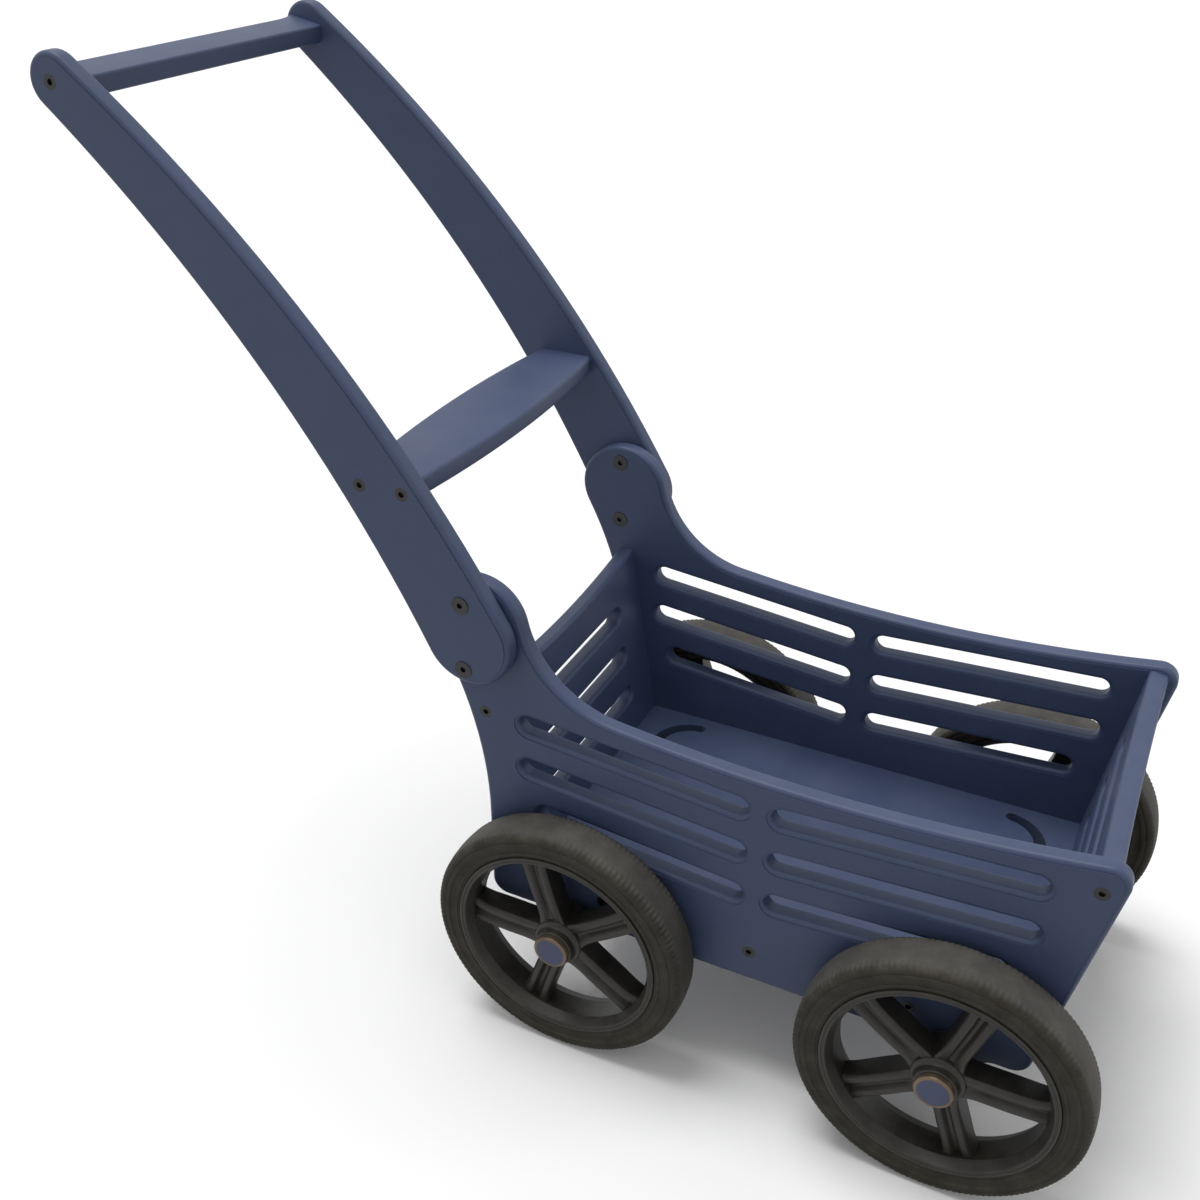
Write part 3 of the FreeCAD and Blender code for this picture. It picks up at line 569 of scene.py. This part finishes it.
studio = {
    "floorSize": 40.0, "floorColour": linear(253, 253, 253), "floorBounce": linear(128, 128, 128),
    "floorRoughness": 0.9, "floorShine": 0.1,
    "sky": 0.58, "sunStrength": 1.7, "sunSpread": 30.0, "sunFrom": (-0.42, 0.05, 1.6),
}


def seenDirectly(tree):
    # 1 for what the camera, a reflection or glass sees, 0 for light bounced on to the object
    path = addNode(tree, "ShaderNodeLightPath")
    return math2(tree, "MAXIMUM", path.outputs["Is Camera Ray"],
                 math2(tree, "MAXIMUM", path.outputs["Is Glossy Ray"], path.outputs["Is Transmission Ray"]))


def makeFloor():
    size = studio["floorSize"]
    mesh = bpy.data.meshes.new("floor")
    corners = [(-size, -size, 0), (size, -size, 0), (size, size, 0), (-size, size, 0)]
    mesh.from_pydata(corners, [], [(0, 1, 2, 3)])
    floor = bpy.data.objects.new("floor", mesh)
    bpy.context.scene.collection.objects.link(floor)
    material = bpy.data.materials.new("paleFloor")
    material.use_nodes = True
    tree = material.node_tree
    shader = tree.nodes["Principled BSDF"]
    tree.links.new(mixColour(tree, seenDirectly(tree), studio["floorBounce"], studio["floorColour"]),
                   shader.inputs["Base Color"])
    shader.inputs["Roughness"].default_value = studio["floorRoughness"]
    shader.inputs["Specular IOR Level"].default_value = studio["floorShine"]
    mesh.materials.append(material)


def makeLights():
    world = bpy.data.worlds.new("softRoom")
    bpy.context.scene.world = world
    world.use_nodes = True
    tree = world.node_tree
    strength = rangeMap(tree, seenDirectly(tree), 0.0, 1.0, studio["sky"], 1.0)
    background = tree.nodes["Background"]
    background.inputs["Color"].default_value = (1, 1, 1, 1)
    tree.links.new(strength, background.inputs["Strength"])
    light = bpy.data.lights.new("wideLamp", "SUN")
    light.energy, light.angle = studio["sunStrength"], math.radians(studio["sunSpread"])
    lamp = bpy.data.objects.new("wideLamp", light)
    lamp.rotation_euler = (-Vector(studio["sunFrom"])).to_track_quat("-Z", "Y").to_euler()
    bpy.context.scene.collection.objects.link(lamp)


view = {"azimuth": 26.25, "elevation": 30.94, "roll": 0.07, "place": (0.3478, -0.8084, 0.8275),
        "lens": 40.86, "shift": (0.0081, 0.0069)}


def makeCamera():
    az, el = math.radians(view["azimuth"]), math.radians(view["elevation"])
    back = Vector((math.sin(az) * math.cos(el), -math.cos(az) * math.cos(el), math.sin(el)))
    right = Vector((math.cos(az), math.sin(az), 0))
    up = back.cross(right)
    roll = Matrix.Rotation(math.radians(view["roll"]), 4, "Z")
    turned = Matrix((right, up, back)).transposed().to_4x4() @ roll
    data = bpy.data.cameras.new("camera")
    data.lens, data.sensor_width = view["lens"], 36.0
    data.shift_x, data.shift_y = view["shift"]
    data.clip_end = 50.0
    camera = bpy.data.objects.new("camera", data)
    camera.matrix_world = Matrix.Translation(view["place"]) @ turned
    bpy.context.scene.collection.objects.link(camera)
    bpy.context.scene.camera = camera


makeFloor()
makeLights()
makeCamera()
bpy.context.scene.view_settings.view_transform = "Standard"
print("studio set")
